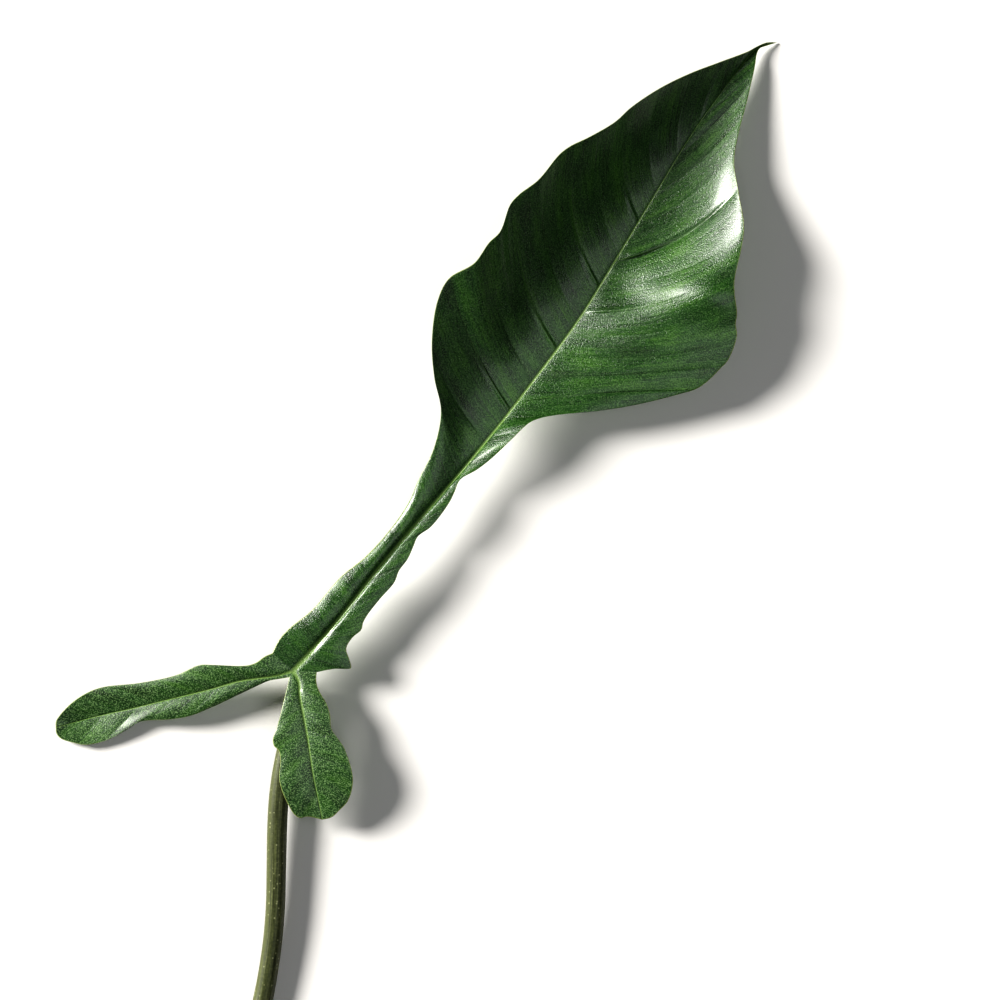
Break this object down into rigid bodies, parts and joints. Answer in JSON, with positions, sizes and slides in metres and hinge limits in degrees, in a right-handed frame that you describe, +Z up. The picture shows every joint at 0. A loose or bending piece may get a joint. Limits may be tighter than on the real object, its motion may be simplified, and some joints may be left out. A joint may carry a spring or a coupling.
{
  "type": "philodendron leaf",
  "caption": "Cut fiddle-leaf philodendron leaf, lying face up: a long strap that widens to a waved spear-shaped lobe, ear lobes at its root, a pale sunk midrib and a round stalk.",
  "frame": {"origin": "middle of the leaf's box, on the surface that it lies on", "axes": "+Z up from the leaf's upper face, +Y from the stalk's cut end towards the tip's side, +X towards the tip's right as seen from above"},
  "size_m": [0.3264, 0.485, 0.0435],
  "materials": {
    "lamina": "waxy, semi-gloss deep green upper face with a pale midrib, fine side veins and a duller, paler underside",
    "stalk": "satin olive-brown skin with fine lengthwise streaks and a paler ridge on each side"
  },
  "bodies": {
    "root": {"leaf_blade": "lamina", "petiole": "stalk"}
  },
  "joints": []
}
